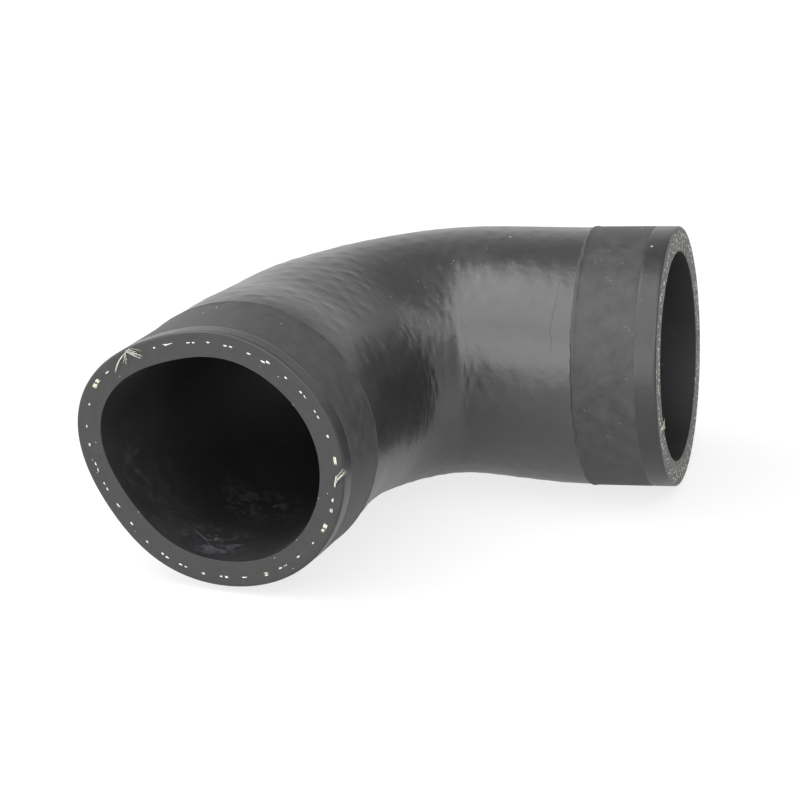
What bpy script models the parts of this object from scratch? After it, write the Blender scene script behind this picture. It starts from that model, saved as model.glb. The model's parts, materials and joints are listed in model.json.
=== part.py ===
"""Intercooler hose: a moulded elbow of fabric-reinforced rubber with a thick cuff at each end.

The hose is one vulcanised piece. Two straight legs meet in a tight bend. Each leg ends in a
cuff of extra plies, with a narrow end band, a pressed crease, a wide clamp band and a small
lip at the back. One mouth is nearly round, and the other has sprung out of round since it
came off its mandrel. The hose lies on a level surface, as it comes to rest.

Metres, +Z up. The origin is the middle of the resting footprint, on the surface.
"""
import math

import bmesh
import bpy
from mathutils import Vector

# The legs and the bend, measured along the centre line
ROUND_LEG = 0.0445
SHAPED_LEG = 0.0526
BEND_ANGLE = math.radians(80.8)
BEND_RADIUS = 0.0396

# The bore at each mouth, and the wall of the cuffs and of the plain body between them
ROUND_BORE = 0.0500
SHAPED_BORE = 0.0507
CUFF_WALL = 0.0060
BODY_WALL = 0.0044

# Each cuff's length, its end band's width and the run behind it down to the body
ROUND_CUFF = 0.0202
ROUND_BAND = 0.0052
ROUND_FLARE = 0.0375
SHAPED_CUFF = 0.0211
SHAPED_BAND = 0.0043
SHAPED_FLARE = 0.0200

# The pressed crease, and the lip and the small step at the cuff's back
CREASE_WIDTH = 0.0008
CREASE_DEPTH = 0.00025
LIP_WIDTH = 0.0008
LIP_HEIGHT = 0.00020
BACK_STEP = 0.0002
STEP_RUN = 0.0004

# The cut edges of a mouth are slightly broken
EDGE_BREAK = 0.0004

# Each mouth's lobes: waves round the ring, height, and the crest's angle from the bend's
# inner side towards the top. They die out over LOBE_FADE along the hose.
ROUND_LOBES = (
    (2, 0.00066, math.radians(-35.0)),
)
SHAPED_LOBES = (
    (2, 0.00170, math.radians(-18.7)),
    (3, 0.00061, math.radians(41.2)),
    (4, 0.00043, math.radians(-20.5)),
    (5, 0.00023, math.radians(16.0)),
)
LOBE_FADE = 0.0360

# The body bows up out of the plane of its legs, most of all beside the round leg, where a
# hump takes this share of the body's length
BODY_BOW = 0.0003
HUMP_HEIGHT = 0.0011
HUMP_SHARE = 0.6

# How finely the hose is divided
SIDES = 60
FLARE_STEPS = 5
BODY_RINGS = 11
BORE_RINGS = 25
SHARP_ANGLE = math.radians(28.0)

ARC_LENGTH = BEND_RADIUS * BEND_ANGLE
LENGTH = ROUND_LEG + ARC_LENGTH + SHAPED_LEG


def ease(t):
    """Smooth step from 0 at t = 0 to 1 at t = 1."""
    t = min(max(t, 0.0), 1.0)
    return t * t * (3.0 - 2.0 * t)


def path(s):
    """Centre point and travel direction at s along the hose, from the round mouth's face."""
    turned = min(max(s - ROUND_LEG, 0.0) / BEND_RADIUS, BEND_ANGLE)
    before = min(s, ROUND_LEG)
    after = max(s - ROUND_LEG - ARC_LENGTH, 0.0)
    travel = Vector((-math.cos(turned), -math.sin(turned), 0.0))
    point = Vector((-before - BEND_RADIUS * math.sin(turned),
                    -BEND_RADIUS * (1.0 - math.cos(turned)), 0.0))
    point += travel * after
    body = min(max((s - ROUND_CUFF) / (LENGTH - SHAPED_CUFF - ROUND_CUFF), 0.0), 1.0)
    hump = min(body / HUMP_SHARE, 1.0)
    point.z += BODY_BOW * math.sin(math.pi * body) ** 2
    point.z += HUMP_HEIGHT * math.sin(math.pi * hump) ** 2
    return point, travel


def lobe_height(lobes, angle):
    """How far a mouth's lobes push its wall out at an angle round the ring."""
    return sum(height * math.cos(waves * (angle - crest)) for waves, height, crest in lobes)


def bore_radius(s, angle):
    """Inner radius at s along the hose: a plain bore, with each mouth's lobes dying out."""
    along = ease((s - ROUND_LEG) / ARC_LENGTH)
    radius = (ROUND_BORE + (SHAPED_BORE - ROUND_BORE) * along) / 2.0
    radius += lobe_height(ROUND_LOBES, angle) * (1.0 - ease(s / LOBE_FADE))
    radius += lobe_height(SHAPED_LOBES, angle) * (1.0 - ease((LENGTH - s) / LOBE_FADE))
    return radius


def cuff_profile(cuff_length, band_width, flare_length):
    """Wall thickness from a mouth back to the plain body, as (distance, thickness) pairs."""
    crease = CREASE_WIDTH / 2.0
    profile = [
        (0.0, CUFF_WALL - EDGE_BREAK),
        (EDGE_BREAK, CUFF_WALL),
        (band_width - crease, CUFF_WALL),
        (band_width, CUFF_WALL - CREASE_DEPTH),
        (band_width + crease, CUFF_WALL),
        (cuff_length - LIP_WIDTH, CUFF_WALL),
        (cuff_length - LIP_WIDTH / 2.0, CUFF_WALL + LIP_HEIGHT),
        (cuff_length, CUFF_WALL),
    ]
    shoulder = CUFF_WALL - BACK_STEP
    for i in range(FLARE_STEPS + 1):
        t = i / FLARE_STEPS
        distance = cuff_length + STEP_RUN + flare_length * t
        profile.append((distance, shoulder + (BODY_WALL - shoulder) * ease(t)))
    return profile


def outer_rings():
    """The outer skin from the round mouth to the shaped one, as (s, wall thickness) pairs."""
    round_end = cuff_profile(ROUND_CUFF, ROUND_BAND, ROUND_FLARE)
    shaped = cuff_profile(SHAPED_CUFF, SHAPED_BAND, SHAPED_FLARE)
    shaped_end = [(LENGTH - distance, wall) for distance, wall in shaped]
    start = round_end[-1][0]
    stop = shaped_end[-1][0]
    step = (stop - start) / (BODY_RINGS + 1)
    body = [(start + step * (i + 1), BODY_WALL) for i in range(BODY_RINGS)]
    return round_end + body + shaped_end[::-1]


def inner_rings():
    """The bore from the shaped mouth back to the round one, as (s, wall thickness) pairs."""
    start = LENGTH - EDGE_BREAK
    step = (start - EDGE_BREAK) / (BORE_RINGS + 1)
    bore = [(start - step * i, 0.0) for i in range(BORE_RINGS + 2)]
    return [(LENGTH, EDGE_BREAK)] + bore + [(0.0, EDGE_BREAK)]


def add_ring(bm, s, wall):
    """One closed ring of points square to the centre line, at wall above the bore."""
    centre, travel = path(s)
    inward = Vector((0.0, 0.0, 1.0)).cross(travel)
    ring = []
    for i in range(SIDES):
        angle = 2.0 * math.pi * i / SIDES
        radius = bore_radius(s, angle) + wall
        offset = inward * (radius * math.cos(angle)) + Vector((0.0, 0.0, radius * math.sin(angle)))
        ring.append(bm.verts.new(centre + offset))
    return ring


def hose_mesh():
    """The hose as one closed skin: out along the cover, across a cut face, back down the bore."""
    bm = bmesh.new()
    rings = [add_ring(bm, s, wall) for s, wall in outer_rings() + inner_rings()]
    for here, after in zip(rings, rings[1:] + rings[:1]):
        for i in range(SIDES):
            j = (i + 1) % SIDES
            bm.faces.new((here[i], after[i], after[j], here[j]))
    bmesh.ops.recalc_face_normals(bm, faces=bm.faces)
    mesh = bpy.data.meshes.new("hose")
    bm.to_mesh(mesh)
    bm.free()
    mesh.shade_smooth()
    mesh.set_sharp_from_angle(angle=SHARP_ANGLE)
    return mesh


def centre_of_mass(mesh):
    """Centroid of the rubber inside a closed mesh."""
    mesh.calc_loop_triangles()
    volume = 0.0
    moment = Vector((0.0, 0.0, 0.0))
    for triangle in mesh.loop_triangles:
        a, b, c = (mesh.vertices[i].co for i in triangle.vertices)
        part = a.dot(b.cross(c)) / 6.0
        volume += part
        moment += (a + b + c) * (part / 4.0)
    return moment / volume


def stands_over(face, point):
    """Whether a point dropped along a hull face's normal lands inside that face."""
    for loop in face.loops:
        edge = loop.link_loop_next.vert.co - loop.vert.co
        if edge.cross(point - loop.vert.co).dot(face.normal) < 0.0:
            return False
    return True


def resting_turn(mesh):
    """The turn that lays the mesh on the hull face it comes to rest on, nearest to level."""
    balance = centre_of_mass(mesh)
    down = Vector((0.0, 0.0, -1.0))
    bm = bmesh.new()
    for vertex in mesh.vertices:
        bm.verts.new(vertex.co)
    hull = bmesh.ops.convex_hull(bm, input=bm.verts)
    faces = [item for item in hull["geom"] if isinstance(item, bmesh.types.BMFace)]
    for face in faces:
        face.normal_update()
    seats = [face.normal.copy() for face in faces if stands_over(face, balance)]
    bm.free()
    seat = max(seats, key=lambda normal: normal.dot(down))
    return seat.rotation_difference(down)


def lay_down(hose):
    """Turn the hose to its rest and put the middle of its footprint at the origin."""
    turn = resting_turn(hose.data)
    points = [turn @ vertex.co for vertex in hose.data.vertices]
    low = Vector(min(p[axis] for p in points) for axis in range(3))
    high = Vector(max(p[axis] for p in points) for axis in range(3))
    middle = (low + high) / 2.0
    hose.rotation_mode = "QUATERNION"
    hose.rotation_quaternion = turn
    hose.location = (-middle.x, -middle.y, -low.z)


def rubber():
    """Black fabric-reinforced rubber with a satin cover."""
    material = bpy.data.materials.new("rubber")
    material.use_nodes = True
    shader = material.node_tree.nodes["Principled BSDF"]
    shader.inputs["Base Color"].default_value = (0.035, 0.036, 0.038, 1.0)
    shader.inputs["Roughness"].default_value = 0.5
    shader.inputs["Metallic"].default_value = 0.0
    return material


for old in list(bpy.data.objects):
    bpy.data.objects.remove(old)

hose = bpy.data.objects.new("hose", hose_mesh())
hose.data.materials.append(rubber())
bpy.context.scene.collection.objects.link(hose)
lay_down(hose)
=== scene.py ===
"""Looks of the intercooler hose: a moulded elbow of reinforced rubber that lies on a pale floor.

The wall of the hose comes first, then the cut yarns that show at its two mouths, the lint and the
scuff on its skin, the floor, the light and the camera. Metres, +Z up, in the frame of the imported
model.
"""
import json
import math
import random

import bpy
import numpy as np
from mathutils import Matrix, Vector


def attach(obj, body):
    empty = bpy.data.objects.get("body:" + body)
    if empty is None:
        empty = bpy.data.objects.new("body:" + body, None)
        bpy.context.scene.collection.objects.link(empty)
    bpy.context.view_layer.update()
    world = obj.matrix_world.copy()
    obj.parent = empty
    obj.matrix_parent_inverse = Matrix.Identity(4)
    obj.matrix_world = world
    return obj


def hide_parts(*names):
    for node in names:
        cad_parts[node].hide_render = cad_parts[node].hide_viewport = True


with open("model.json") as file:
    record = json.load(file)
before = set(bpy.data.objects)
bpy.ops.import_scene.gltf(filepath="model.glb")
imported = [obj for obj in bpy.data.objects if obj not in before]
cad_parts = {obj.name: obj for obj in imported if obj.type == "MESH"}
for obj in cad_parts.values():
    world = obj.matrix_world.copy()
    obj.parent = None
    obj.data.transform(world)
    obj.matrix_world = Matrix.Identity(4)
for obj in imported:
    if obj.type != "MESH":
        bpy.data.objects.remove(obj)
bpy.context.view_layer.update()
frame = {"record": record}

# The hose wall. One vulcanised piece of black rubber over a knitted ply. It is built up on a
# straight mandrel, bent on a curved one and cured there, and its two mouths are then cut square.
# A matt clamp band is pressed round each cuff. The rest keeps the satin skin of the mould.
ROUND_LEG = 0.0445
SHAPED_LEG = 0.0526
BEND_ANGLE = math.radians(80.8)
BEND_RADIUS = 0.0396
ARC_LENGTH = BEND_RADIUS * BEND_ANGLE
HOSE_LENGTH = ROUND_LEG + ARC_LENGTH + SHAPED_LEG
BEND_EASE = 0.010

ROUND_BORE = 0.0500
SHAPED_BORE = 0.0507
CUFF_WALL = 0.0060
BODY_WALL = 0.0044

# Each cuff: its length, its end band's width and the run behind it down to the body
ROUND_CUFF = (0.0202, 0.0052, 0.0375)
SHAPED_CUFF = (0.0211, 0.0043, 0.0200)

CREASE_HALF = 0.00030
CREASE_DEPTH = 0.00005
LIP_HALF = 0.00045
LIP_HEIGHT = 0.00014
BACK_STEP = 0.00020
EDGE_BREAK = 0.00035
BORE_EDGE_BREAK = 0.00008

# Lobes of each sprung mouth: waves round the ring, height, and the crest's angle from the
# bend's inner side towards the top
ROUND_LOBES = ((2, 0.00066, math.radians(-35.0)),)
SHAPED_LOBES = (
    (2, 0.00170, math.radians(-18.7)),
    (3, 0.00061, math.radians(41.2)),
    (4, 0.00043, math.radians(-20.5)),
    (5, 0.00023, math.radians(16.0)),
)
LOBE_FADE = 0.0360

BODY_BOW = 0.0003
HUMP_HEIGHT = 0.0011
HUMP_SHARE = 0.6

# The knitted ply shows through the body as a lattice of low bumps, with courses along the hose
# and wales round it. The lattice is lower on the round leg, and the mandrel pressed it flatter on
# the inner side of the bend.
COURSE_PITCH = 0.0055
WALES = 36
RIPPLE_HEIGHT = 0.000105
BUMP_ROUND, BUMP_ALONG = 0.60, 0.80
RIPPLE_FADE = 0.0040
ROUND_LEG_SHARE = 0.70
ROUND_LEG_RUN = 0.015
PRESSED_SHARE = 0.62
PRESSED_FROM, PRESSED_FROM_RUN = 0.048, 0.008
PRESSED_TO, PRESSED_TO_RUN = 0.108, 0.020
PRESSED_ANGLE, PRESSED_ANGLE_RUN = 1.15, 0.25

# How the courses, the wales and the height of the bumps stray: share, the distance over which
# that twists round the hose, its waves round the ring, and a seed
COURSE_STRAYS = ((0.45, 0.025, (4, 7, 11), 3), (0.45, -0.030, (5, 9, 14), 4))
WALE_STRAY = (0.4, 0.040, (6, 10, 15), 5)
HEIGHT_STRAY = (0.25, 0.03, (4, 9, 17), 14)

# The wrinkles where the ply is packed together: folds across the inner side of the bend, each
# broken into short hollows where it crosses a wale. A fold has its place and its share of the
# depth, and a wale its angle (degrees) and its share. Every other fold is half a wale further
# round, as the stitches are.
FOLDS = ((0.0540, 0.25), (0.0650, 0.7), (0.0740, 1.0), (0.0825, 1.0), (0.0905, 0.6), (0.0985, 0.6),
         (0.1065, 0.6))
FOLD_WALES = ((41.0, 0.6), (31.0, 1.0), (21.0, 1.1), (11.0, 1.0), (1.0, 0.8), (-9.0, 0.4))
FOLD_DEPTH = 0.00020
FOLD_HALF_WIDTH = 0.0028
FOLD_HALF_ROUND = 3.3
FOLD_LEAN, FOLD_LEAN_ABOUT = 0.00018, 25.0
FOLD_SCATTER, WALE_SCATTER = 0.0022, 1.5

# Between the folds the cover is finely crumpled, and the wall is a little thicker all along there
PACKED_FROM = ROUND_LEG + 0.008
PACKED_TO = ROUND_LEG + ARC_LENGTH + 0.006
PACKED_RUN = 0.012
INNER_THICKENING = 0.0005
CRUMPLE_HEIGHT = 0.000036
CRUMPLE_PITCH = 0.0061
CRUMPLE_WAVES = 40.0
CRUMPLE_SWAY = 0.0045
CRUMPLE_ANGLE, CRUMPLE_SPREAD = 0.35, 0.55

# The body behind the shaped cuff stands out a little on its upper outer side, where the ply was
# stretched over the bend, and the cuff runs down into it over a longer way
SWELL_HEIGHT = 0.0008
SWELL_PLACE = 0.112
SWELL_LENGTH = 0.022
SWELL_ANGLE = math.radians(115.0)
SWELL_SPREAD = math.radians(45.0)
OUTER_FLARE_SHARE = 0.8

# The cuffs' back edges waver a little, where the edge of the clamp band's mould closed on them
BACK_WAVER = 0.00008
BACK_WAVER_REACH = 0.0012

# How finely the skin is divided: sides of a ring, and the steps between rings on a plain cuff, by
# the crease, by the lip, on the body, across a cut face and down the bore
SIDES = 288
CUFF_STEP = 0.0007
CREASE_REACH, CREASE_STEP = 0.0009, 0.00018
LIP_REACH, LIP_STEP = 0.0014, 0.00020
LIP_OVERRUN = 0.0008
BODY_STEP = 0.00068
CUT_STEP = 0.0007
BORE_STEP = 0.0020


def ease(t):
    """Smooth step from 0 at t = 0 to 1 at t = 1."""
    t = np.clip(t, 0.0, 1.0)
    return t * t * (3.0 - 2.0 * t)


def turned_by(s):
    """How far the hose has turned at s. The bend begins and ends softly, over BEND_EASE."""
    half = BEND_EASE / 2.0
    def ramp(d):
        return np.where(d > half, d, np.where(d < -half, 0.0, (d + half) ** 2 / (2.0 * BEND_EASE)))
    return (ramp(s - ROUND_LEG) - ramp(s - ROUND_LEG - ARC_LENGTH)) / BEND_RADIUS


SWEEP_STEPS = np.linspace(-0.002, HOSE_LENGTH + 0.002, 4001)
SWEEP_TURN = turned_by(SWEEP_STEPS)
SWEEP_TRAVEL = np.stack([-np.cos(SWEEP_TURN), -np.sin(SWEEP_TURN)])
SWEEP_POINTS = np.cumsum(SWEEP_TRAVEL, axis=1) * (SWEEP_STEPS[1] - SWEEP_STEPS[0])
SWEEP_POINTS -= np.array([np.interp(0.0, SWEEP_STEPS, row) for row in SWEEP_POINTS])[:, None]


def centre_line(s):
    """Centre points and travel directions at distances s along the hose from the round mouth."""
    turned = turned_by(s)
    body = np.clip((s - ROUND_CUFF[0]) / (HOSE_LENGTH - SHAPED_CUFF[0] - ROUND_CUFF[0]), 0.0, 1.0)
    hump = np.minimum(body / HUMP_SHARE, 1.0)
    rise = BODY_BOW * np.sin(np.pi * body) ** 2 + HUMP_HEIGHT * np.sin(np.pi * hump) ** 2
    travel = np.stack([-np.cos(turned), -np.sin(turned), np.zeros_like(turned)], axis=-1)
    point = np.stack([np.interp(s, SWEEP_STEPS, SWEEP_POINTS[0]),
                      np.interp(s, SWEEP_STEPS, SWEEP_POINTS[1]), rise], axis=-1)
    return point, travel


def lobe_height(lobes, angle):
    """How far a mouth's lobes push its wall out at an angle round the ring."""
    return sum(height * np.cos(waves * (angle - crest)) for waves, height, crest in lobes)


def bore_radius(s, angle):
    """Inner radius: a plain bore, with each mouth's lobes dying out along it."""
    along = ease((s - ROUND_LEG) / ARC_LENGTH)
    radius = (ROUND_BORE + (SHAPED_BORE - ROUND_BORE) * along) / 2.0
    radius = radius + lobe_height(ROUND_LOBES, angle) * (1.0 - ease(s / LOBE_FADE))
    return radius + lobe_height(SHAPED_LOBES, angle) * (1.0 - ease((HOSE_LENGTH - s) / LOBE_FADE))


def cuff_wall(distance, cuff, angle):
    """Wall thickness at a distance from one mouth: its crease, its lip and the run down behind."""
    length, band, flare = cuff
    outer = 0.5 - 0.5 * np.cos(angle)
    past = (distance - length) / (flare * (1.0 + OUTER_FLARE_SHARE * outer ** 2))
    wall = CUFF_WALL - (CUFF_WALL - BODY_WALL) * ease(past)
    wall = wall - np.where(distance > length, BACK_STEP * (1.0 - ease(past)), 0.0)
    wall = wall - CREASE_DEPTH * np.exp(-((distance - band) / CREASE_HALF) ** 2)
    return wall + LIP_HEIGHT * np.exp(-((distance - length + LIP_HALF) / LIP_HALF) ** 2)


def wander(angle, waves, seed):
    """An uneven line round the ring: waves of random phase, about 1 high in all."""
    draw = random.Random(seed)
    return sum(math.sqrt(2.0 / len(waves)) * np.cos(n * angle + draw.uniform(0.0, 2.0 * math.pi))
               for n in waves)


def stray(s, angle, share, twist, waves, seed):
    """An uneven line that also twists round the hose along it."""
    return share * wander(angle + s / twist, waves, seed)


def wrinkles():
    """The short hollows: place along the hose, angle (degrees) and depth."""
    draw = random.Random(8)
    hollows = []
    for row, (place, fold_share) in enumerate(FOLDS):
        for degrees, wale_share in FOLD_WALES:
            degrees += 180.0 / WALES * (row % 2)
            along = (place - FOLD_LEAN * (degrees - FOLD_LEAN_ABOUT)
                     + draw.uniform(-FOLD_SCATTER, FOLD_SCATTER))
            hollows.append((along, degrees + draw.uniform(-WALE_SCATTER, WALE_SCATTER),
                            FOLD_DEPTH * fold_share * wale_share * draw.uniform(0.6, 1.2)))
    return hollows


WRINKLES = wrinkles()


def lattice(s, angle, swing):
    """The bumps of the ply. Swing is the angle from the bend's inner side, from -pi to pi."""
    course = 2.0 * np.pi * s / COURSE_PITCH + sum(stray(s, angle, *row) for row in COURSE_STRAYS)
    wale = WALES * angle + stray(s, angle, *WALE_STRAY)
    crest_round, crest_along = np.cos(0.5 * wale), np.cos(course)
    bumps = (np.exp((crest_round - 1.0) / BUMP_ROUND - (crest_along + 1.0) / BUMP_ALONG)
             + np.exp(-(crest_round + 1.0) / BUMP_ROUND + (crest_along - 1.0) / BUMP_ALONG))
    clear = (ease((s - ROUND_CUFF[0]) / RIPPLE_FADE)
             * ease((HOSE_LENGTH - SHAPED_CUFF[0] - s) / RIPPLE_FADE))
    leg = ROUND_LEG_SHARE + (1.0 - ROUND_LEG_SHARE) * ease((s - ROUND_LEG) / ROUND_LEG_RUN)
    pressed = (ease((s - PRESSED_FROM) / PRESSED_FROM_RUN) * ease((PRESSED_TO - s) / PRESSED_TO_RUN)
               * ease((PRESSED_ANGLE - np.abs(swing)) / PRESSED_ANGLE_RUN))
    uneven = 1.0 + stray(s, angle, *HEIGHT_STRAY)
    return clear * leg * (1.0 - PRESSED_SHARE * pressed) * uneven * RIPPLE_HEIGHT * bumps


def ply_relief(s, angle):
    """How the ply under the cover lifts the outer skin of the body."""
    swing = np.remainder(angle + np.pi, 2.0 * np.pi) - np.pi
    relief = lattice(s, angle, swing)
    for place, degrees, depth in WRINKLES:
        aside = np.degrees(swing) - degrees
        along = (s - place + FOLD_LEAN * aside) / FOLD_HALF_WIDTH
        relief = relief - depth * np.exp(-(aside / FOLD_HALF_ROUND) ** 2 - along ** 2)
    bend = ease((s - PACKED_FROM) / PACKED_RUN) * ease((PACKED_TO - s) / PACKED_RUN)
    crumple = (CRUMPLE_HEIGHT * bend * np.exp(-((swing - CRUMPLE_ANGLE) / CRUMPLE_SPREAD) ** 2)
               * np.cos(2.0 * np.pi * s / CRUMPLE_PITCH + 2.2 * wander(angle * 2.0, (3, 5, 8), 6))
               * np.cos(CRUMPLE_WAVES * angle + 2.0 * np.cos(s / CRUMPLE_SWAY)))
    packed = INNER_THICKENING * bend * np.maximum(np.cos(swing), 0.0) ** 2
    swell = SWELL_HEIGHT * np.exp(-((s - SWELL_PLACE) / SWELL_LENGTH) ** 2
                                  - ((swing - SWELL_ANGLE) / SWELL_SPREAD) ** 2)
    return relief + crumple + packed + swell


def spread(start, stop, step):
    """Evenly spaced places from start up to, but not with, stop, about a step apart."""
    count = max(round(abs(stop - start) / step), 1)
    return [start + (stop - start) * i / count for i in range(count)]


def cuff_places(cuff):
    """Distances from a mouth at which the outer skin has a ring, closest at crease and lip."""
    length, band, _ = cuff
    corner = [EDGE_BREAK * (1.0 - math.cos(math.radians(a))) for a in (0.0, 30.0, 60.0)]
    return (corner + spread(EDGE_BREAK, band - CREASE_REACH, CUFF_STEP)
            + spread(band - CREASE_REACH, band + CREASE_REACH, CREASE_STEP)
            + spread(band + CREASE_REACH, length - LIP_REACH, CUFF_STEP)
            + spread(length - LIP_REACH, length + LIP_OVERRUN, LIP_STEP))


COVER, END_BAND, CLAMP_BAND, SHAPED_CUT, ROUND_CUT, BORE = range(6)


def wall_rings():
    """All rings of the closed skin: place, height above the bore, and the finish after it."""
    rings = []
    for distance in cuff_places(ROUND_CUFF):
        finish = CLAMP_BAND if ROUND_CUFF[1] <= distance < ROUND_CUFF[0] - 0.0001 else COVER
        finish = END_BAND if distance < ROUND_CUFF[1] else finish
        rings.append((distance, "skin", finish))
    body = spread(ROUND_CUFF[0] + LIP_OVERRUN, HOSE_LENGTH - SHAPED_CUFF[0] - LIP_OVERRUN,
                  BODY_STEP)
    rings += [(s, "skin", COVER) for s in body]
    for distance in reversed(cuff_places(SHAPED_CUFF)):
        finish = CLAMP_BAND if SHAPED_CUFF[1] < distance <= SHAPED_CUFF[0] + 0.0001 else COVER
        finish = END_BAND if distance <= SHAPED_CUFF[1] else finish
        rings.append((HOSE_LENGTH - distance, "skin", finish))
    across = spread(CUFF_WALL - EDGE_BREAK, BORE_EDGE_BREAK, CUT_STEP)
    rings[-1] = (HOSE_LENGTH, "skin", SHAPED_CUT)
    rings += [(HOSE_LENGTH, height, SHAPED_CUT) for height in across[1:]]
    rings.append((HOSE_LENGTH, BORE_EDGE_BREAK, BORE))
    down = spread(HOSE_LENGTH - BORE_EDGE_BREAK, BORE_EDGE_BREAK, BORE_STEP)
    rings += [(s, 0.0, BORE) for s in down]
    rings.append((BORE_EDGE_BREAK, 0.0, ROUND_CUT))
    rings += [(0.0, height, ROUND_CUT) for height in reversed(across)]
    rings.pop()
    rings[0] = (0.0, "skin", END_BAND)
    return rings


def hose_points(s, angle, height):
    """Points at a height above the bore, in the hose's own frame."""
    centre, travel = centre_line(s)
    inward = np.stack([-travel[..., 1], travel[..., 0], np.zeros_like(s)], axis=-1)
    radius = bore_radius(s, angle) + height
    offset = inward * (radius * np.cos(angle))[..., None]
    offset[..., 2] += radius * np.sin(angle)
    return centre + offset


def resting_place():
    """The hose's own frame in the model's frame, from the faces of its two mouths."""
    mounts = {mount["name"]: mount for mount in frame["record"]["mounts"]}
    outward = Vector(mounts["round_mouth_face"]["axis"]).normalized()
    up = Vector(mounts["shaped_mouth_face"]["axis"]).cross(outward).normalized()
    across = up.cross(outward)
    top = float(bore_radius(np.array(0.0), np.array(math.pi / 2.0))) + CUFF_WALL / 2.0
    centre = Vector(mounts["round_mouth_face"]["pos_m"]) - up * top
    return Matrix.Translation(centre) @ Matrix((outward, across, up)).transposed().to_4x4()


def hose_mesh():
    """The closed skin of the hose, with its finishes as material slots."""
    rings = wall_rings()
    angle = 2.0 * np.pi * np.arange(SIDES) / SIDES
    points = []
    for place, height, _ in rings:
        s = np.full(SIDES, place)
        back_round = np.exp(-((s - ROUND_CUFF[0]) / BACK_WAVER_REACH) ** 2)
        back_shaped = np.exp(-((HOSE_LENGTH - s - SHAPED_CUFF[0]) / BACK_WAVER_REACH) ** 2)
        if height == "skin":
            wall = np.where(s < HOSE_LENGTH / 2.0, cuff_wall(s, ROUND_CUFF, angle),
                            cuff_wall(HOSE_LENGTH - s, SHAPED_CUFF, angle))
            corner = np.clip(1.0 - np.minimum(s, HOSE_LENGTH - s) / EDGE_BREAK, 0.0, 1.0)
            height = wall + ply_relief(s, angle) - EDGE_BREAK * (1.0 - np.sqrt(1.0 - corner ** 2))
            s = s + BACK_WAVER * back_round * wander(angle, range(5, 60, 4), 11)
            s = s + BACK_WAVER * back_shaped * wander(angle, range(5, 60, 4), 12)
        points.append(hose_points(s, angle, height))
    points = np.concatenate(points)
    count = len(rings)
    faces = []
    finishes = []
    for k, (_, _, finish) in enumerate(rings):
        here = k * SIDES
        after = (k + 1) % count * SIDES
        for i in range(SIDES):
            j = (i + 1) % SIDES
            faces.append((here + i, here + j, after + j, after + i))
            finishes.append(finish)
    mesh = bpy.data.meshes.new("hose_wall")
    mesh.from_pydata(points.tolist(), [], faces)
    mesh.polygons.foreach_set("material_index", finishes)
    mesh.transform(resting_place())
    mesh.shade_smooth()
    mesh.set_sharp_from_angle(angle=math.radians(38.0))
    return mesh


def add_node(tree, kind, place, **settings):
    """One shader node at a place on the sheet, with its settings and plain input values."""
    node = tree.nodes.new(kind)
    node.location = place
    for name, value in settings.items():
        if name in node.inputs:
            node.inputs[name].default_value = value
        else:
            setattr(node, name, value)
    return node


def surface_group(name, inputs, outputs):
    """An empty shader group with number inputs and number outputs, and its two end nodes."""
    tree = bpy.data.node_groups.new(name, "ShaderNodeTree")
    for label, value in inputs:
        socket = tree.interface.new_socket(name=label, in_out="INPUT",
                                           socket_type="NodeSocketFloat")
        socket.default_value = value
    for label in outputs:
        tree.interface.new_socket(name=label, in_out="OUTPUT", socket_type="NodeSocketFloat")
    start = add_node(tree, "NodeGroupInput", (-800, 0))
    end = add_node(tree, "NodeGroupOutput", (600, 0))
    return tree, start, end


def rubber_clouding():
    """Soft clouding and fine grain of cured rubber. Sizes are in waves per metre."""
    tree, start, end = surface_group("rubber clouding",
                                     (("Cloud Waves", 60.0), ("Grain Waves", 3000.0)),
                                     ("Cloud", "Grain"))
    place = add_node(tree, "ShaderNodeTexCoord", (-1000, 200))
    for label, detail, row in (("Cloud", 5.0, 150), ("Grain", 3.0, -150)):
        noise = add_node(tree, "ShaderNodeTexNoise", (-300, row), Detail=detail, Roughness=0.6)
        tree.links.new(place.outputs["Object"], noise.inputs["Vector"])
        tree.links.new(start.outputs[label + " Waves"], noise.inputs["Scale"])
        stretch = add_node(tree, "ShaderNodeMapRange", (0, row))
        stretch.inputs["From Min"].default_value = 0.3
        stretch.inputs["From Max"].default_value = 0.7
        tree.links.new(noise.outputs["Fac"], stretch.inputs["Value"])
        tree.links.new(stretch.outputs["Result"], end.inputs[label])
    return tree


def white_specks():
    """Scattered specks of pale mould dust. Cells are per metre, a speck's size a share of one."""
    tree, start, end = surface_group("white specks",
                                     (("Cells", 400.0), ("Size", 0.1), ("Share", 0.1)),
                                     ("Speck",))
    place = add_node(tree, "ShaderNodeTexCoord", (-1000, 200))
    cells = add_node(tree, "ShaderNodeTexVoronoi", (-500, 150), feature="F1")
    split = add_node(tree, "ShaderNodeSeparateColor", (-250, 0))
    chosen = add_node(tree, "ShaderNodeMath", (0, 0), operation="LESS_THAN")
    small = add_node(tree, "ShaderNodeMath", (0, 200), operation="LESS_THAN")
    both = add_node(tree, "ShaderNodeMath", (250, 100), operation="MULTIPLY")
    tree.links.new(place.outputs["Object"], cells.inputs["Vector"])
    tree.links.new(start.outputs["Cells"], cells.inputs["Scale"])
    tree.links.new(cells.outputs["Color"], split.inputs["Color"])
    tree.links.new(split.outputs["Red"], chosen.inputs[0])
    tree.links.new(start.outputs["Share"], chosen.inputs[1])
    tree.links.new(cells.outputs["Distance"], small.inputs[0])
    tree.links.new(start.outputs["Size"], small.inputs[1])
    tree.links.new(chosen.outputs[0], both.inputs[0])
    tree.links.new(small.outputs[0], both.inputs[1])
    tree.links.new(both.outputs[0], end.inputs["Speck"])
    return tree


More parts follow.
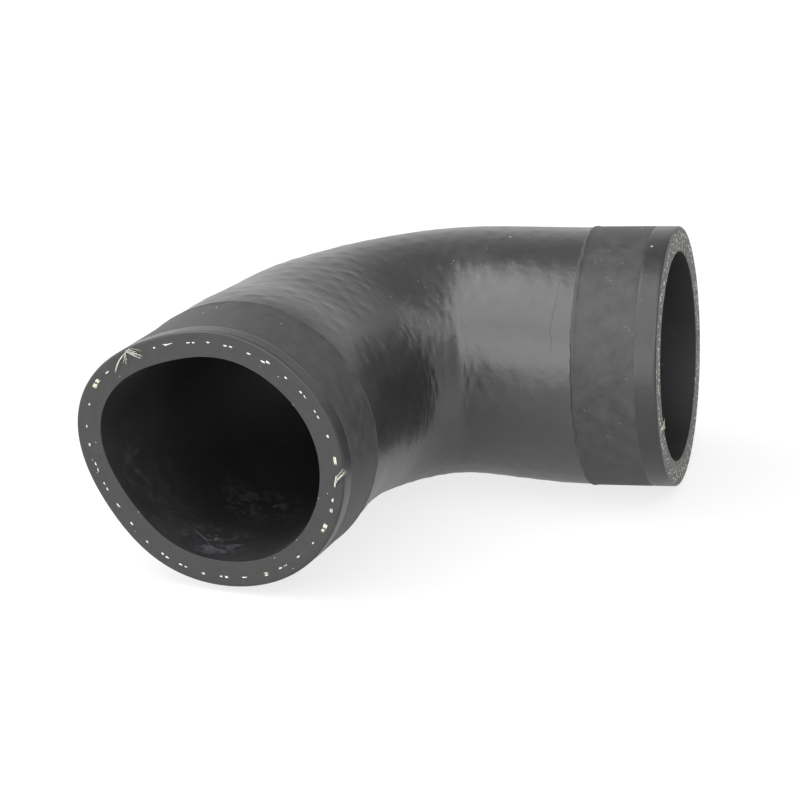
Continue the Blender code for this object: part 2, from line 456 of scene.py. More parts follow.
def dust_and_light_smear():
    """A pale smear at a place, streaky inside its radius: dust, and in the bore also painted light.
    Waves are per metre.
    """
    tree, start, end = surface_group("dust and painted light smear", (("X", 0.0), ("Y", 0.0), ("Z", 0.0),
                                                    ("Radius", 0.01), ("Waves", 300.0)), ("Smear",))
    place = add_node(tree, "ShaderNodeTexCoord", (-1000, 300))
    middle = add_node(tree, "ShaderNodeCombineXYZ", (-600, 0))
    away = add_node(tree, "ShaderNodeVectorMath", (-400, 150), operation="DISTANCE")
    share = add_node(tree, "ShaderNodeMath", (-200, 150), operation="DIVIDE")
    fade = add_node(tree, "ShaderNodeMapRange", (0, 150), interpolation_type="SMOOTHSTEP")
    fade.inputs["From Min"].default_value = 1.0
    fade.inputs["From Max"].default_value = 0.2
    noise = add_node(tree, "ShaderNodeTexNoise", (-400, -200), Detail=4.0, Roughness=0.65,
                     Distortion=1.2)
    streaks = add_node(tree, "ShaderNodeMapRange", (-100, -200))
    streaks.inputs["From Min"].default_value = 0.50
    streaks.inputs["From Max"].default_value = 0.72
    both = add_node(tree, "ShaderNodeMath", (300, 0), operation="MULTIPLY")
    for axis in "XYZ":
        tree.links.new(start.outputs[axis], middle.inputs[axis])
    tree.links.new(place.outputs["Object"], away.inputs[0])
    tree.links.new(middle.outputs["Vector"], away.inputs[1])
    tree.links.new(away.outputs["Value"], share.inputs[0])
    tree.links.new(start.outputs["Radius"], share.inputs[1])
    tree.links.new(share.outputs[0], fade.inputs["Value"])
    tree.links.new(place.outputs["Object"], noise.inputs["Vector"])
    tree.links.new(start.outputs["Waves"], noise.inputs["Scale"])
    tree.links.new(noise.outputs["Fac"], streaks.inputs["Value"])
    tree.links.new(fade.outputs["Result"], both.inputs[0])
    tree.links.new(streaks.outputs["Result"], both.inputs[1])
    tree.links.new(both.outputs[0], end.inputs["Smear"])
    return tree


clouding = rubber_clouding()
specks = white_specks()
smear = dust_and_light_smear()


def rubber_finish(name, dark, light, gloss, grain, dust, dust_colour=(0.45, 0.45, 0.42), ior=1.5,
                  smears=()):
    """A rubber surface: two tones clouded together, with grain, dust specks and smears."""
    material = bpy.data.materials.new(name)
    material.use_nodes = True
    tree = material.node_tree
    shader = tree.nodes["Principled BSDF"]
    shader.inputs["IOR"].default_value = ior
    cloud = add_node(tree, "ShaderNodeGroup", (-1100, 100), node_tree=clouding)
    cloud.inputs["Cloud Waves"].default_value = grain["cloud_waves"]
    cloud.inputs["Grain Waves"].default_value = grain["grain_waves"]
    tones = add_node(tree, "ShaderNodeMix", (-700, 250), data_type="RGBA")
    tones.inputs["A"].default_value = (*dark, 1.0)
    tones.inputs["B"].default_value = (*light, 1.0)
    tree.links.new(cloud.outputs["Cloud"], tones.inputs["Factor"])
    speck = add_node(tree, "ShaderNodeGroup", (-1100, 400), node_tree=specks)
    for label, value in zip(("Cells", "Size", "Share"), dust):
        speck.inputs[label].default_value = value
    dusted = add_node(tree, "ShaderNodeMix", (-400, 350), data_type="RGBA")
    dusted.inputs["B"].default_value = (*dust_colour, 1.0)
    tree.links.new(speck.outputs["Speck"], dusted.inputs["Factor"])
    tinted = tones
    for place, (x, y, z, radius, waves, colour) in enumerate(smears):
        mask = add_node(tree, "ShaderNodeGroup", (-1100, 700 + 200 * place), node_tree=smear)
        for label, value in zip(("X", "Y", "Z", "Radius", "Waves"), (x, y, z, radius, waves)):
            mask.inputs[label].default_value = value
        layer = add_node(tree, "ShaderNodeMix", (-600, 600 + 200 * place), data_type="RGBA")
        layer.inputs["B"].default_value = (*colour, 1.0)
        tree.links.new(mask.outputs["Smear"], layer.inputs["Factor"])
        tree.links.new(tinted.outputs["Result"], layer.inputs["A"])
        tinted = layer
    tree.links.new(tinted.outputs["Result"], dusted.inputs["A"])
    tree.links.new(dusted.outputs["Result"], shader.inputs["Base Color"])
    rough = add_node(tree, "ShaderNodeMapRange", (-700, 0))
    rough.inputs["To Min"].default_value = gloss[0]
    rough.inputs["To Max"].default_value = gloss[1]
    tree.links.new(cloud.outputs["Cloud"], rough.inputs["Value"])
    tree.links.new(rough.outputs["Result"], shader.inputs["Roughness"])
    bump = add_node(tree, "ShaderNodeBump", (-400, -200), Strength=1.0)
    bump.inputs["Distance"].default_value = grain["height"]
    tree.links.new(cloud.outputs["Grain"], bump.inputs["Height"])
    tree.links.new(bump.outputs["Normal"], shader.inputs["Normal"])
    return material


cover = rubber_finish("moulded cover", (0.011, 0.011, 0.0115), (0.020, 0.020, 0.0205),
                      (0.285, 0.36),
                      {"cloud_waves": 70.0, "grain_waves": 230.0, "height": 0.000060},
                      (230.0, 0.08, 0.04), dust_colour=(0.16, 0.16, 0.16), ior=1.75)
end_band = rubber_finish("cuff end band", (0.010, 0.010, 0.0105), (0.022, 0.022, 0.0225),
                         (0.285, 0.38),
                         {"cloud_waves": 110.0, "grain_waves": 300.0, "height": 0.000032},
                         (300.0, 0.08, 0.04), ior=1.55)
clamp_band = rubber_finish("matt clamp band", (0.020, 0.020, 0.020), (0.045, 0.045, 0.045),
                           (0.50, 0.62),
                           {"cloud_waves": 300.0, "grain_waves": 1500.0, "height": 0.000020},
                           (420.0, 0.08, 0.06))
shaped_cut = rubber_finish("knife-cut face", (0.023, 0.023, 0.0235), (0.036, 0.036, 0.0365),
                           (0.70, 0.85),
                           {"cloud_waves": 420.0, "grain_waves": 2400.0, "height": 0.000020},
                           (900.0, 0.10, 0.08))
round_cut = rubber_finish("torn cut face", (0.050, 0.051, 0.048), (0.170, 0.172, 0.160),
                          (0.70, 0.85),
                          {"cloud_waves": 700.0, "grain_waves": 1800.0, "height": 0.000035},
                          (1300.0, 0.36, 0.22), dust_colour=(0.46, 0.47, 0.38))
bore_skin = rubber_finish("bore skin", (0.018, 0.018, 0.020), (0.027, 0.027, 0.029),
                          (0.45, 0.60),
                          {"cloud_waves": 80.0, "grain_waves": 500.0, "height": 0.000025},
                          (500.0, 0.07, 0.06), dust_colour=(0.12, 0.12, 0.12),
                          # The first two smears are pale dust and release marks low in the bore.
                          # The third is painted light: a lighter bluish streaky patch on the lower
                          # left wall near the mouth, where light falls in.
                          smears=((-0.0332, -0.0454, 0.0076, 0.0110, 300.0, (0.16, 0.16, 0.17)),
                                  (-0.0299, -0.0175, 0.0057, 0.0150, 330.0, (0.12, 0.12, 0.13)),
                                  (-0.0480, -0.0400, 0.0200, 0.0200, 220.0, (0.060, 0.060, 0.070))))

hose = bpy.data.objects.new("hose_wall", hose_mesh())
bpy.context.scene.collection.objects.link(hose)
for material in (cover, end_band, clamp_band, shaped_cut, round_cut, bore_skin):
    hose.data.materials.append(material)
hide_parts("hose")
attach(hose, "root")


# shaped_mouth_yarns: the cut ends of the ply on the shaped mouth. The knife that trims a mouth cuts
# each wale of the knitted ply, and its pale polyester filaments stay as short dashes in a ring on
# the cut face. They crowd together where the ply was lapped.
YARN_HEIGHT = 0.0036
YARN_RING_RADIUS = 0.029
STRAND_GAP = 0.0014
SMEARED_WIDTH = 0.7
SMEARED_RISE = 0.0004
FILAMENT = 0.000045
FILAMENT_SIDES = 5
END_TAPER = 0.55
PACKING = 0.9
FEWEST_FILAMENTS = 3

# Each yarn's angle (degrees), length and width (mm), tint, and how many strands it is split in
SHAPED_YARNS = (
    (2.6, 2.3, 0.75, 0.7, 1), (13.6, 0.8, 0.45, 0.1, 1), (24.2, 0.9, 0.36, 0.1, 2),
    (34.7, 1.0, 0.36, 0.1, 2), (45.3, 1.1, 0.62, 0.1, 1), (56.0, 1.6, 0.80, 0.1, 1),
    (58.2, 1.5, 0.50, 0.1, 1), (66.1, 1.1, 0.42, 0.1, 1), (76.9, 1.1, 0.40, 0.1, 2),
    (87.2, 0.9, 0.38, 0.1, 1), (96.3, 1.1, 0.38, 0.1, 2), (108.4, 2.9, 0.34, 0.2, 1),
    (109.6, 0.7, 0.70, 0.2, 1), (115.7, 0.8, 0.36, 0.3, 1), (142.6, 1.4, 0.36, 0.3, 1),
    (148.6, 1.2, 1.10, 0.8, 1), (151.0, 1.5, 1.30, 0.7, 1), (159.8, 0.8, 0.40, 0.2, 1),
    (169.5, 0.8, 0.40, 0.2, 1), (177.5, 0.8, 0.42, 0.2, 1), (187.6, 1.0, 0.36, 0.2, 2),
    (197.1, 1.0, 0.36, 0.2, 2), (207.6, 1.3, 0.42, 0.2, 1), (218.3, 1.2, 0.42, 0.1, 1),
    (229.6, 0.8, 0.42, 0.1, 1), (240.4, 1.0, 0.42, 0.1, 2), (250.6, 1.0, 0.40, 0.1, 2),
    (261.3, 1.2, 0.55, 0.1, 1), (271.7, 0.9, 0.50, 0.1, 2), (282.2, 1.9, 0.40, 0.1, 1),
    (293.4, 1.4, 0.95, 0.6, 1), (302.8, 1.1, 0.40, 0.2, 2), (312.2, 1.2, 0.36, 0.2, 1),
    (322.3, 1.0, 0.42, 0.2, 1), (330.0, 1.1, 0.90, 0.6, 1), (332.3, 1.3, 1.10, 0.5, 1),
    (340.3, 1.3, 0.75, 0.5, 1), (345.0, 1.1, 0.50, 0.3, 1), (352.4, 1.8, 0.40, 0.4, 1),
)


def filament_mesh(name, runs):
    """One mesh of thin round filaments. A run is its points, its radius and its tint, which goes
    from 0 for white to 1 for straw."""
    points, faces, tints = [], [], []
    for line, radius, tint in runs:
        line = np.asarray(line)
        travel = np.gradient(line, axis=0)
        travel /= np.linalg.norm(travel, axis=1)[:, None]
        side = np.cross(travel, np.array([0.31, 0.52, 0.79]))
        side /= np.linalg.norm(side, axis=1)[:, None]
        other = np.cross(travel, side)
        start = len(points)
        for k in range(len(line)):
            taper = END_TAPER if k in (0, len(line) - 1) else 1.0
            for i in range(FILAMENT_SIDES):
                a = 2.0 * math.pi * i / FILAMENT_SIDES
                offset = side[k] * math.cos(a) + other[k] * math.sin(a)
                points.append(line[k] + offset * radius * taper)
                tints.append(tint)
        for k in range(len(line) - 1):
            for i in range(FILAMENT_SIDES):
                j = (i + 1) % FILAMENT_SIDES
                a, b = start + k * FILAMENT_SIDES, start + (k + 1) * FILAMENT_SIDES
                faces.append((a + i, a + j, b + j, b + i))
        last = start + (len(line) - 1) * FILAMENT_SIDES
        faces.append(tuple(start + i for i in reversed(range(FILAMENT_SIDES))))
        faces.append(tuple(last + i for i in range(FILAMENT_SIDES)))
    mesh = bpy.data.meshes.new(name)
    mesh.from_pydata([tuple(p) for p in points], [], faces)
    tint_layer = mesh.attributes.new("tint", "FLOAT", "POINT")
    tint_layer.data.foreach_set("value", tints)
    mesh.transform(resting_place())
    mesh.shade_smooth()
    return mesh


def on_mouth(mouth, turn, height, out):
    """A point on a mouth's cut face: angle in radians, height above the bore, and how far it
    stands out of the face."""
    s = -out if mouth == "round" else HOSE_LENGTH + out
    return hose_points(np.array(s), np.array(turn), np.array(height))


def cut_yarn(draw, mouth, turn, height, length, width, tint):
    """The filaments of one cut yarn, dragged a little along the ring by the knife."""
    runs = []
    s = 0.0 if mouth == "round" else HOSE_LENGTH
    radius = float(bore_radius(np.array(s), np.array(turn))) + height
    for _ in range(max(round(width / FILAMENT * PACKING), FEWEST_FILAMENTS)):
        shift = draw.uniform(-0.5, 0.5) * width
        begin = -length * draw.uniform(0.30, 0.52)
        finish = length * draw.uniform(0.30, 0.52)
        lean = draw.uniform(-0.12, 0.12)
        crown = draw.uniform(0.00005, 0.00014)
        line = []
        for t in (0.0, 0.25, 0.5, 0.75, 1.0):
            along = begin + (finish - begin) * t
            out = FILAMENT * 0.4 + crown * math.sin(math.pi * t)
            line.append(on_mouth(mouth, turn + along / radius, height + shift + lean * along, out))
        runs.append((line, FILAMENT * draw.uniform(0.8, 1.2), tint * draw.uniform(0.7, 1.3)))
    return runs


def shaped_mouth_yarns():
    """The ring of cut yarns on the shaped mouth."""
    draw = random.Random(21)
    runs = []
    for degrees, length, width, tint, strands in SHAPED_YARNS:
        turn = math.radians(degrees)
        height = YARN_HEIGHT + 0.00025 * math.sin(turn * 3.0 + 1.0) + draw.uniform(-0.0001, 0.0001)
        height += SMEARED_RISE if width > SMEARED_WIDTH else 0.0
        for k in range(strands):
            place = turn + (k - (strands - 1) / 2.0) * STRAND_GAP / YARN_RING_RADIUS
            runs += cut_yarn(draw, "shaped", place, height + draw.uniform(-0.0001, 0.0001),
                             length / 1000.0 * draw.uniform(0.7, 1.0), width / 1000.0 * 0.8, tint)
    return runs


def yarn_finish(name, white, straw):
    """Pale polyester filament, from white to straw, darkened a little where rubber sticks to it."""
    material = bpy.data.materials.new(name)
    material.use_nodes = True
    tree = material.node_tree
    shader = tree.nodes["Principled BSDF"]
    shader.inputs["Roughness"].default_value = 0.7
    tint = add_node(tree, "ShaderNodeAttribute", (-900, 200), attribute_name="tint")
    colour = add_node(tree, "ShaderNodeMix", (-600, 200), data_type="RGBA")
    colour.inputs["A"].default_value = (*white, 1.0)
    colour.inputs["B"].default_value = (*straw, 1.0)
    tree.links.new(tint.outputs["Fac"], colour.inputs["Factor"])
    place = add_node(tree, "ShaderNodeTexCoord", (-1100, -100))
    noise = add_node(tree, "ShaderNodeTexNoise", (-900, -100), Scale=1600.0, Detail=2.0)
    tree.links.new(place.outputs["Object"], noise.inputs["Vector"])
    smudge = add_node(tree, "ShaderNodeMapRange", (-600, -100))
    smudge.inputs["From Min"].default_value = 0.56
    smudge.inputs["From Max"].default_value = 0.72
    smudge.inputs["To Max"].default_value = 0.75
    tree.links.new(noise.outputs["Fac"], smudge.inputs["Value"])
    mixed = add_node(tree, "ShaderNodeMix", (-300, 100), data_type="RGBA")
    mixed.inputs["B"].default_value = (0.10, 0.10, 0.10, 1.0)
    tree.links.new(smudge.outputs["Result"], mixed.inputs["Factor"])
    tree.links.new(colour.outputs["Result"], mixed.inputs["A"])
    tree.links.new(mixed.outputs["Result"], shader.inputs["Base Color"])
    return material


def add_piece(name, runs, finish):
    """One visible piece of fine filaments that rides with the hose."""
    piece = bpy.data.objects.new(name, filament_mesh(name, runs))
    piece.data.materials.append(finish)
    bpy.context.scene.collection.objects.link(piece)
    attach(piece, "root")


yarn = yarn_finish("ply yarn", (0.70, 0.70, 0.69), (0.62, 0.60, 0.43))
add_piece("shaped_mouth_yarns", shaped_mouth_yarns(), yarn)


# shaped_mouth_frays: two tufts on the shaped mouth, where the knife pulled the ply's yarn out of
# the rubber and the filaments fan out over the cut face. Angles in degrees, heights above the bore.
OUTER_TUFT = (129.3, 0.0052)
INNER_TUFT = (351.8, 0.0038)
INNER_TUFT_TIPS = ((359.6, 0.0068), (358.8, 0.0070), (359.9, 0.0063), (358.3, 0.0064),
                   (357.6, 0.0060))
STRAND_STRAY = 0.00002


def frayed_strand(draw, mouth, start, stop, lift, curl, tint, radius=FILAMENT):
    """One filament pulled out of the ply, from start to stop, each as (degrees, height above the
    bore). It is arched out of the face by lift."""
    line = []
    for k in range(9):
        t = k / 8.0
        turn = math.radians(start[0] + (stop[0] - start[0]) * t)
        height = start[1] + (stop[1] - start[1]) * t + curl * math.sin(math.pi * t)
        out = FILAMENT + lift * math.sin(math.pi * min(t * 0.8, 1.0))
        out += draw.uniform(-1.0, 1.0) * STRAND_STRAY
        line.append(on_mouth(mouth, turn, height, out))
    return [(line, radius * draw.uniform(0.8, 1.15), tint)]


def shaped_mouth_frays():
    """The two places on the shaped mouth where the ply's yarn is pulled out and frayed."""
    draw = random.Random(5)
    runs = []
    for _ in range(4):
        tip = (139.2 + draw.uniform(-0.4, 0.4), 0.0024 + draw.uniform(-0.0001, 0.0002))
        runs += frayed_strand(draw, "shaped", OUTER_TUFT, tip, 0.0007,
                              draw.uniform(0.0001, 0.0004), 0.7, FILAMENT * 0.8)
    for _ in range(14):
        tip = (123.6 + draw.uniform(-2.2, 2.6), 0.0034 + draw.uniform(-0.0010, 0.0012))
        runs += frayed_strand(draw, "shaped", OUTER_TUFT, tip, 0.0006,
                              draw.uniform(0.0002, 0.0010), 0.5, FILAMENT * 0.55)
    for _ in range(6):
        tip = (131.0 + draw.uniform(-2.0, 4.0), 0.0026 + draw.uniform(-0.0006, 0.0012))
        runs += frayed_strand(draw, "shaped", OUTER_TUFT, tip, 0.0004,
                              draw.uniform(-0.0005, 0.0005), 0.5, FILAMENT * 0.55)
    for tip in INNER_TUFT_TIPS:
        runs += frayed_strand(draw, "shaped", INNER_TUFT, tip, 0.0009,
                              draw.uniform(-0.0006, -0.0003), 0.6, FILAMENT * 0.9)
    for _ in range(4):
        tip = (356.2 + draw.uniform(-0.5, 0.5), 0.0040 + draw.uniform(-0.0002, 0.0002))
        runs += frayed_strand(draw, "shaped", INNER_TUFT, tip, 0.0002,
                              draw.uniform(-0.0001, 0.0001), 0.4)
    return runs


add_piece("shaped_mouth_frays", shaped_mouth_frays(), yarn)


# round_mouth_yarns: the cut ends of the ply on the round mouth. They are finer, closer and more
# torn than on the other mouth, with one small tuft.
TORN_YARNS = WALES * 3
ROUND_TUFT = (341.3, 0.0044)


def round_mouth_yarns():
    """The cut yarns on the round mouth, finer, closer and more torn, with one small tuft."""
    draw = random.Random(33)
    runs = []
    for i in range(TORN_YARNS):
        turn = 2.0 * math.pi * (i + draw.uniform(-0.4, 0.4)) / TORN_YARNS
        height = YARN_HEIGHT + draw.uniform(-0.0014, 0.0012)
        length = draw.uniform(0.0004, 0.0012)
        runs += cut_yarn(draw, "round", turn, height, length, draw.uniform(0.00014, 0.00032),
                         draw.uniform(0.1, 0.8))
    for _ in range(9):
        tip = (339.5 + draw.uniform(-2.0, 4.0), 0.0014 + draw.uniform(-0.0006, 0.0010))
        runs += frayed_strand(draw, "round", ROUND_TUFT, tip, 0.0007, 0.0002, 0.8)
    return runs


add_piece("round_mouth_yarns", round_mouth_yarns(), yarn)


# skin_marks: loose lint from the cut ply that clings to the skin as short curled ticks.
# Each row is the place along the hose, the angle round it, the length (mm) and the slant (degrees).
SKIN_MARKS = (
    (0.0123, 339.0, 0.5, 10.0), (0.0151, 63.0, 0.9, 80.0), (0.0165, 62.0, 0.9, 100.0),
    (0.0120, 51.0, 0.8, 10.0), (0.0128, 52.5, 0.6, 60.0), (0.0100, 61.5, 0.7, 30.0),
    (0.0043, 41.0, 0.9, 40.0), (0.0066, 27.0, 0.7, 70.0), (0.0074, 28.5, 0.6, 20.0),
    (0.0058, 25.5, 0.6, 120.0), (0.0038, 54.0, 0.7, 90.0), (0.0140, 70.0, 0.6, 30.0),
    (0.0175, 352.0, 0.9, 90.0), (0.0092, 346.0, 0.5, 60.0), (0.0070, 6.0, 0.5, 30.0),
    (0.0130, 56.0, 0.5, 110.0), (0.0720, 65.0, 0.7, 20.0), (0.0702, 52.5, 0.6, 60.0),
    (0.0685, 48.0, 0.6, 30.0), (0.0884, 49.0, 0.8, 80.0), (0.0245, 41.0, 0.8, 50.0),
    (0.0252, 42.5, 0.6, 130.0), (0.0435, 70.0, 0.9, 60.0), (0.0540, 62.0, 0.8, 70.0),
    (0.0546, 60.0, 0.6, 20.0),
)
SKIN_RADIUS = 0.031
TICK_CURL = 0.6
TICK_LIFT = 0.00001
TICK_RADIUS = 0.000050
TICK_TINT = 0.2


def on_skin(s, turn, lift):
    """A point just above the outer skin."""
    cuff, distance = (ROUND_CUFF, s) if s < HOSE_LENGTH / 2.0 else (SHAPED_CUFF, HOSE_LENGTH - s)
    s, turn = np.array(s), np.array(turn)
    height = cuff_wall(np.array(distance), cuff, turn) + ply_relief(s, turn) + lift
    return hose_points(s, turn, height)


def skin_marks():
    """The curled ticks, each one fine filament that lies on the skin."""
    runs = []
    for place, degrees, length, slant in SKIN_MARKS:
        line = []
        heading = math.radians(slant)
        for k in range(5):
            t = k / 4.0 - 0.5
            along = length / 1000.0 * t
            aside = length / 1000.0 * (0.5 - 2.0 * t * t) * TICK_CURL
            s = place + along * math.cos(heading) - aside * math.sin(heading)
            round_way = along * math.sin(heading) + aside * math.cos(heading)
            turn = math.radians(degrees) + round_way / SKIN_RADIUS
            line.append(on_skin(s, turn, TICK_LIFT))
        runs.append((line, TICK_RADIUS, TICK_TINT))
    return runs


lint = yarn_finish("grey lint", (0.19, 0.19, 0.19), (0.24, 0.24, 0.21))
add_piece("skin_marks", skin_marks(), lint)


# skin_scuff: a fine scuff across the body just behind the round cuff, lined with grey dust.
# Each pair is a place along the hose (m) and an angle round it (degrees).
SCUFF = ((0.0240, 50.0), (0.0243, 44.2), (0.0245, 38.2), (0.0250, 32.2), (0.0253, 27.0),
         (0.0248, 21.8), (0.0250, 16.5))
SCUFF_STEPS = 36
SCUFF_STRAY = 0.00012
SCUFF_RADIUS = 0.000055
SCUFF_TINT = 0.5


def skin_scuff():
    """The scuff as one thin uneven line that lies on the skin."""
    draw = random.Random(17)
    places, angles = zip(*SCUFF)
    line = []
    for k in range(SCUFF_STEPS + 1):
        t = k / SCUFF_STEPS * (len(SCUFF) - 1)
        s = float(np.interp(t, range(len(SCUFF)), places))
        s += draw.uniform(-SCUFF_STRAY, SCUFF_STRAY)
        turn = math.radians(float(np.interp(t, range(len(SCUFF)), angles)))
        line.append(on_skin(s, turn, 0.0))
    return [(line, SCUFF_RADIUS, SCUFF_TINT)]


scuff_dust = yarn_finish("scuff dust", (0.045, 0.045, 0.045), (0.060, 0.060, 0.060))
add_piece("skin_scuff", skin_scuff(), scuff_dust)


# The floor: one pale sheet of board under the hose. To the camera and in gloss it is mostly its own
# plain white, and the rest is lit, so that it keeps the hose's soft shadow. In gloss that white
# is painted shade towards the right: it darkens there as if the light fell off away from the
# window.
FLOOR_SIDE = 6.0
FLOOR_LIT_SHARE = 0.22
GLOSS_LIT_SHARE = 0.45
FLOOR_IN_GLOSS = 0.91
# Painted shade on the floor in gloss: the share of its white left at the right, and the X over
# which it darkens
FLOOR_PAINTED_SHADE_RIGHT = 0.60
DIM_FROM_X, DIM_TO_X = 0.04, 0.15

floor_mesh = bpy.data.meshes.new("floor")
half = FLOOR_SIDE / 2.0
floor_mesh.from_pydata([(-half, -half, 0.0), (half, -half, 0.0),
                        (half, half, 0.0), (-half, half, 0.0)], [], [(0, 1, 2, 3)])
floor = bpy.data.objects.new("floor", floor_mesh)
bpy.context.scene.collection.objects.link(floor)
floor_board = bpy.data.materials.new("white board")
floor_board.use_nodes = True
tree = floor_board.node_tree
tree.nodes.clear()
lit = add_node(tree, "ShaderNodeBsdfDiffuse", (-300, 100), Color=(0.86, 0.86, 0.86, 1.0))
plain = add_node(tree, "ShaderNodeEmission", (-300, -100), Color=(1.0, 1.0, 1.0, 1.0))
ray = add_node(tree, "ShaderNodeLightPath", (-900, 200))
level = add_node(tree, "ShaderNodeMath", (-600, -100), operation="MAXIMUM")
place = add_node(tree, "ShaderNodeTexCoord", (-1300, -200))
across = add_node(tree, "ShaderNodeSeparateXYZ", (-1100, -200))
# Painted shade: in gloss the floor's white darkens towards the right
dimmer = add_node(tree, "ShaderNodeMapRange", (-900, -200), interpolation_type="SMOOTHSTEP")
for label, value in (("From Min", DIM_FROM_X), ("From Max", DIM_TO_X),
                     ("To Min", FLOOR_IN_GLOSS), ("To Max", FLOOR_IN_GLOSS * FLOOR_PAINTED_SHADE_RIGHT)):
    dimmer.inputs[label].default_value = value
tree.links.new(place.outputs["Object"], across.inputs["Vector"])
tree.links.new(across.outputs["X"], dimmer.inputs["Value"])
tree.links.new(dimmer.outputs["Result"], level.inputs[1])
shown = add_node(tree, "ShaderNodeMath", (-600, 100), operation="MULTIPLY")
shown.inputs[1].default_value = 1.0 - FLOOR_LIT_SHARE
mirrored = add_node(tree, "ShaderNodeMath", (-600, 300), operation="MULTIPLY")
mirrored.inputs[1].default_value = 1.0 - GLOSS_LIT_SHARE
share = add_node(tree, "ShaderNodeMath", (-300, 300), operation="ADD")
mixed = add_node(tree, "ShaderNodeMixShader", (0, 100))
out = add_node(tree, "ShaderNodeOutputMaterial", (250, 100))
tree.links.new(ray.outputs["Is Camera Ray"], level.inputs[0])
tree.links.new(level.outputs[0], plain.inputs["Strength"])
tree.links.new(ray.outputs["Is Camera Ray"], shown.inputs[0])
tree.links.new(ray.outputs["Is Glossy Ray"], mirrored.inputs[0])
tree.links.new(shown.outputs[0], share.inputs[0])
tree.links.new(mirrored.outputs[0], share.inputs[1])
tree.links.new(share.outputs[0], mixed.inputs["Fac"])
tree.links.new(lit.outputs["BSDF"], mixed.inputs[1])
tree.links.new(plain.outputs["Emission"], mixed.inputs[2])
tree.links.new(mixed.outputs["Shader"], out.inputs["Surface"])
floor.data.materials.append(floor_board)

# The light: a wide softbox overhead and a small one at the left, a low window in front with its
# bright reveal, a wall panel at the right, and a white room that darkens overhead
AIM = Vector((0.0, 0.0, 0.03))
LIGHTS = (
    # name, elevation and azimuth (degrees, 0 in front, positive to the right), distance,
    # size, radiance
    ("overhead_softbox", 66.5, -42.0, 1.4, (3.0, 1.16), 2.35),
    ("window", 20.5, -46.0, 1.6, (2.9, 1.20), 2.15),
    ("left_softbox", 57.0, -92.0, 1.3, (0.80, 0.50), 2.3),
    ("window_reveal", 27.0, 7.0, 1.6, (0.50, 1.00), 1.2),
    ("far_wall", 44.0, 80.0, 1.6, (2.6, 0.50), 1.3),
)

# The room's own brightness from the horizon to overhead: height of the direction, strength
ROOM_LEVELS = ((0.0, 1.20), (0.17, 1.15), (0.34, 0.97), (0.50, 0.72), (0.78, 0.40))

# The room is dimmer low down on its right: the share of light left there, and the parts of the
# direction's X and Z over which the dimming comes and goes
RIGHT_SIDE_SHARE = 0.50
RIGHT_FADE = (0.1, 0.6)
LOW_FADE = (0.10, 0.50)

for name, elevation, azimuth, distance, size, radiance in LIGHTS:
    up, round_z = math.radians(elevation), math.radians(azimuth)
    direction = Vector((math.sin(round_z) * math.cos(up), -math.cos(round_z) * math.cos(up),
                        math.sin(up)))
    panel = bpy.data.lights.new(name, "AREA")
    panel.shape = "RECTANGLE"
    panel.size, panel.size_y = size
    panel.energy = radiance * math.pi * size[0] * size[1]
    lamp = bpy.data.objects.new(name, panel)
    lamp.location = AIM + direction * distance
    lamp.rotation_euler = direction.to_track_quat("Z", "Y").to_euler()
    lamp.visible_camera = False
    bpy.context.scene.collection.objects.link(lamp)

room = bpy.data.worlds.new("white room")
bpy.context.scene.world = room
room.use_nodes = True
tree = room.node_tree
tree.nodes.clear()
place = add_node(tree, "ShaderNodeTexCoord", (-1100, 0))
height = add_node(tree, "ShaderNodeSeparateXYZ", (-900, 0))
walls = add_node(tree, "ShaderNodeValToRGB", (-700, 0))
for level in ROOM_LEVELS[2:]:
    walls.color_ramp.elements.new(level[0])
for stop, (level, strength) in zip(walls.color_ramp.elements, ROOM_LEVELS):
    stop.position = level
    stop.color = (strength, strength, strength, 1.0)
ray = add_node(tree, "ShaderNodeLightPath", (-700, 300))
seen = add_node(tree, "ShaderNodeMath", (-450, 150), operation="MAXIMUM")
background = add_node(tree, "ShaderNodeBackground", (-200, 0), Color=(1.0, 1.0, 1.0, 1.0))
out = add_node(tree, "ShaderNodeOutputWorld", (50, 0))
right = add_node(tree, "ShaderNodeMapRange", (-700, -250), interpolation_type="SMOOTHSTEP")
low = add_node(tree, "ShaderNodeMapRange", (-700, -500), interpolation_type="SMOOTHSTEP")
dark = add_node(tree, "ShaderNodeMath", (-450, -350), operation="MULTIPLY")
left_over = add_node(tree, "ShaderNodeMath", (-300, -350), operation="SUBTRACT")
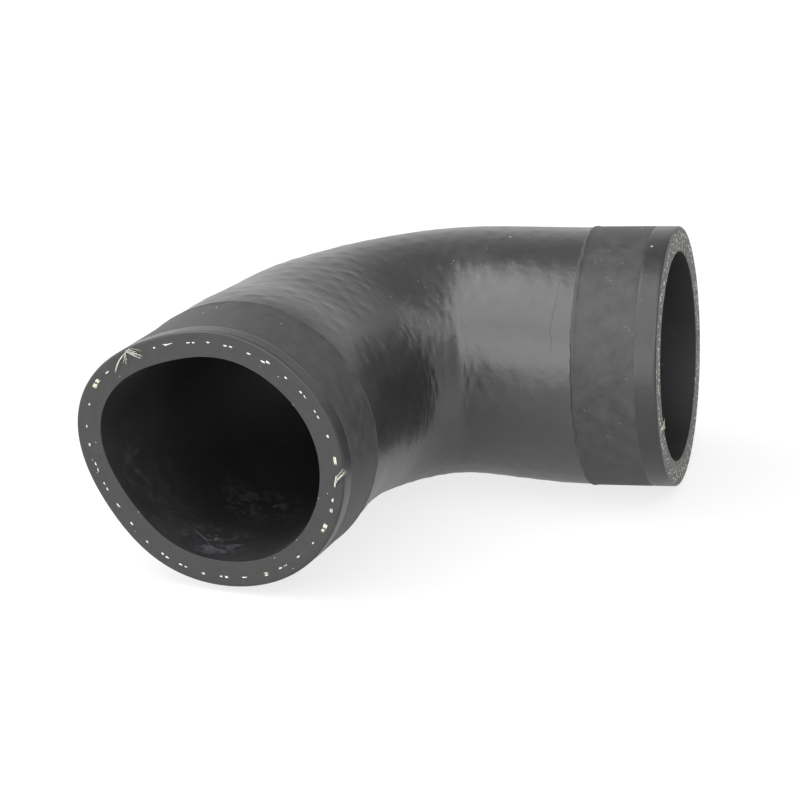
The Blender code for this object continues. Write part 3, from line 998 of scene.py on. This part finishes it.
left_over.inputs[0].default_value = 1.0
shaded = add_node(tree, "ShaderNodeMath", (-450, -50), operation="MULTIPLY")
for node, low_end, high_end, at_low, at_high in ((right, *RIGHT_FADE, 0.0, 1.0 - RIGHT_SIDE_SHARE),
                                                 (low, *LOW_FADE, 1.0, 0.0)):
    for label, value in (("From Min", low_end), ("From Max", high_end),
                         ("To Min", at_low), ("To Max", at_high)):
        node.inputs[label].default_value = value
tree.links.new(place.outputs["Generated"], height.inputs["Vector"])
tree.links.new(height.outputs["Z"], walls.inputs["Fac"])
tree.links.new(height.outputs["X"], right.inputs["Value"])
tree.links.new(height.outputs["Z"], low.inputs["Value"])
tree.links.new(right.outputs["Result"], dark.inputs[0])
tree.links.new(low.outputs["Result"], dark.inputs[1])
tree.links.new(dark.outputs[0], left_over.inputs[1])
tree.links.new(walls.outputs["Color"], shaded.inputs[0])
tree.links.new(left_over.outputs[0], shaded.inputs[1])
tree.links.new(ray.outputs["Is Camera Ray"], seen.inputs[0])
tree.links.new(shaded.outputs[0], seen.inputs[1])
tree.links.new(seen.outputs[0], background.inputs["Strength"])
tree.links.new(background.outputs["Background"], out.inputs["Surface"])

# The camera, as fitted to the photograph's view of the two mouths
CAMERA_PLACE = Vector((0.21257, -0.85965, 0.34484))
CAMERA_AZIMUTH = math.radians(13.88)
CAMERA_ELEVATION = math.radians(19.698)
CAMERA_ROLL = math.radians(-1.701)
CAMERA_LENS = 178.88

camera = bpy.data.objects.new("camera", bpy.data.cameras.new("camera"))
camera.data.lens = CAMERA_LENS
camera.data.sensor_width = 36.0
turn = (Matrix.Rotation(CAMERA_AZIMUTH, 4, "Z")
        @ Matrix.Rotation(math.pi / 2.0 - CAMERA_ELEVATION, 4, "X")
        @ Matrix.Rotation(CAMERA_ROLL, 4, "Z"))
camera.matrix_world = Matrix.Translation(CAMERA_PLACE) @ turn
bpy.context.scene.collection.objects.link(camera)
bpy.context.scene.camera = camera
bpy.context.scene.view_settings.view_transform = "Standard"
